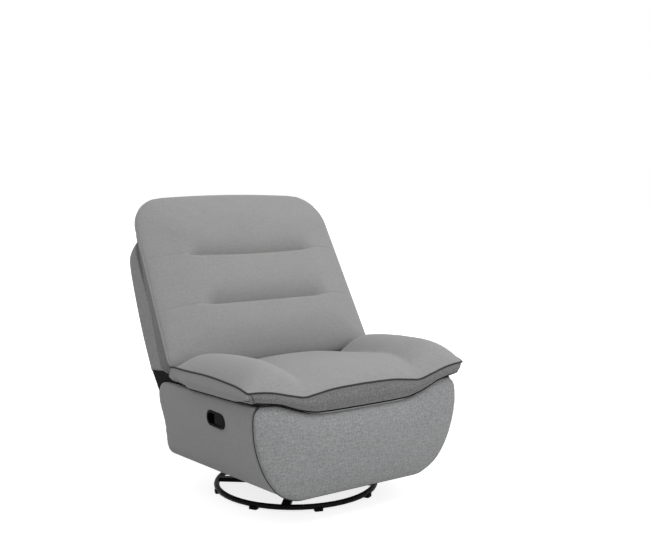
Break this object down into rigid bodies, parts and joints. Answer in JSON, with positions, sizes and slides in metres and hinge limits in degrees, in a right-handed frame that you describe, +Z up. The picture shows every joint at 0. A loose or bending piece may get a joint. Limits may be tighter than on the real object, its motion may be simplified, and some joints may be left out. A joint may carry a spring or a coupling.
{
  "type": "swivel glider recliner",
  "caption": "Upholstered armchair that turns on a floor ring, glides on hanging arms, and reclines with a linked footrest that swings up",
  "frame": {"origin": "middle of the bounding box footprint at floor height; the swivel axis is 61 mm nearer the front", "axes": "X across the chair, towards the side without the release handle; Y towards the rear, so the front faces -Y; Z up"},
  "size_m": [0.896, 0.9716, 1.058],
  "materials": {
    "plain_fabric": "smooth plain weave, grey, padded",
    "coarse_fabric": "coarse herringbone weave, grey",
    "lining_cloth": "black non-woven lining",
    "black_steel": "semi-gloss black powder coat",
    "zinc_steel": "zinc-plated pressed steel",
    "spring_steel": "oiled wire",
    "black_plastic": "moulded black plastic",
    "hardwood": "bare hardwood rails",
    "plywood": "bare plywood"
  },
  "bodies": {
    "base": {"base_ring": "black_steel", "glide_pad_1": "black_plastic", "glide_pad_2": "black_plastic", "glide_pad_3": "black_plastic", "glide_pad_4": "black_plastic", "glide_pad_5": "black_plastic", "glide_pad_6": "black_plastic", "glide_pad_7": "black_plastic", "glide_pad_8": "black_plastic", "bearing_lower_race": "zinc_steel", "king_bolt": "zinc_steel"},
    "swivel": {"bearing_ball_cage": "zinc_steel", "bearing_upper_race": "zinc_steel", "glider_pan": "black_steel", "carrier_plate_left": "black_steel", "carrier_plate_right": "black_steel"},
    "front_arms": {"swing_arm_front_left": "black_steel", "swing_arm_front_right": "black_steel"},
    "rear_arms": {"swing_arm_rear_left": "black_steel", "swing_arm_rear_right": "black_steel"},
    "carriage": {"glide_rail_left": "black_steel", "mechanism_plate_left": "black_steel", "seat_rail_left": "hardwood", "side_panel_left": "plain_fabric", "glide_rail_right": "black_steel", "mechanism_plate_right": "black_steel", "seat_rail_right": "hardwood", "side_panel_right": "plain_fabric", "cross_tube_front": "black_steel", "cross_tube_rear": "black_steel", "seat_rail_front": "hardwood", "seat_rail_rear": "hardwood", "rear_apron": "lining_cloth", "seat_spring_1": "spring_steel", "seat_spring_2": "spring_steel", "seat_spring_3": "spring_steel", "seat_spring_4": "spring_steel", "seat_cushion": "plain_fabric", "latch_cup": "black_plastic", "release_cable": "black_plastic"},
    "latch": {"latch_paddle": "black_plastic"},
    "trip": {"trip_lever": "zinc_steel"},
    "drive_links": {"footrest_drive_link_left": "black_steel", "footrest_drive_link_right": "black_steel", "footrest_drive_tube": "black_steel"},
    "lift_links": {"footrest_lift_link_left": "black_steel", "footrest_lift_link_right": "black_steel"},
    "guide_links": {"footrest_guide_link_left": "black_steel", "footrest_guide_link_right": "black_steel"},
    "footrest": {"footrest_bracket_left": "black_steel", "footrest_bracket_right": "black_steel", "footrest_board": "plywood", "footrest_panel": "coarse_fabric"},
    "back": {"back_post_left": "black_steel", "back_post_right": "black_steel", "back_board": "plywood", "back_cushion": "plain_fabric", "back_shell": "plain_fabric", "rear_skirt": "coarse_fabric"}
  },
  "joints": [
    {"name": "swivel", "type": "hinge", "parent": "base", "child": "swivel", "pos_m": [0, -0.06078, 0.042], "axis": [0, 0, 1], "continuous": true},
    {"name": "glide", "type": "hinge", "parent": "swivel", "child": "front_arms", "pos_m": [0, -0.20578, 0.24], "axis": [1, 0, 0], "range_deg": [-16, 16]},
    {"name": "glide_rear", "type": "hinge", "parent": "swivel", "child": "rear_arms", "pos_m": [0, 0.08422, 0.24], "axis": [1, 0, 0], "range_deg": [-16.5, 16.5]},
    {"name": "glide_level", "type": "hinge", "parent": "front_arms", "child": "carriage", "pos_m": [0, -0.20578, 0.107], "axis": [1, 0, 0], "range_deg": [-16.5, 16.5]},
    {"name": "recline", "type": "hinge", "parent": "carriage", "child": "back", "pos_m": [0, 0.10422, 0.215], "axis": [-1, 0, 0], "range_deg": [0, 29]},
    {"name": "footrest_drive", "type": "hinge", "parent": "carriage", "child": "drive_links", "pos_m": [0, -0.36978, 0.334], "axis": [-1, 0, 0], "range_deg": [0, 123.2]},
    {"name": "footrest_lift", "type": "hinge", "parent": "drive_links", "child": "lift_links", "pos_m": [0, -0.25478, 0.201], "axis": [-1, 0, 0], "range_deg": [-110, 2]},
    {"name": "footrest_pitch", "type": "hinge", "parent": "lift_links", "child": "footrest", "pos_m": [0, -0.42278, 0.266], "axis": [-1, 0, 0], "range_deg": [-2, 77]},
    {"name": "footrest_guide", "type": "hinge", "parent": "carriage", "child": "guide_links", "pos_m": [0, -0.33248, 0.3325], "axis": [-1, 0, 0], "range_deg": [-1, 126]},
    {"name": "latch_pull", "type": "hinge", "parent": "carriage", "child": "latch", "pos_m": [-0.4055, -0.25178, 0.336], "axis": [0, 0, 1], "range_deg": [0, 28], "stiffness_Nm_per_rad": 0.6},
    {"name": "trip", "type": "hinge", "parent": "carriage", "child": "trip", "pos_m": [-0.2148, -0.25678, 0.286], "axis": [1, 0, 0], "range_deg": [-20, 1]}
  ],
  "couplings": [
    {"joint": "glide_rear", "follows": "glide", "ratio": 1},
    {"joint": "glide_level", "follows": "glide", "ratio": -1},
    {"joint": "footrest_lift", "follows": "footrest_drive", "ratio": -0.8774},
    {"joint": "footrest_pitch", "follows": "footrest_drive", "ratio": 0.608},
    {"joint": "footrest_guide", "follows": "footrest_drive", "ratio": 1.009},
    {"joint": "trip", "follows": "latch_pull", "ratio": -0.5}
  ]
}
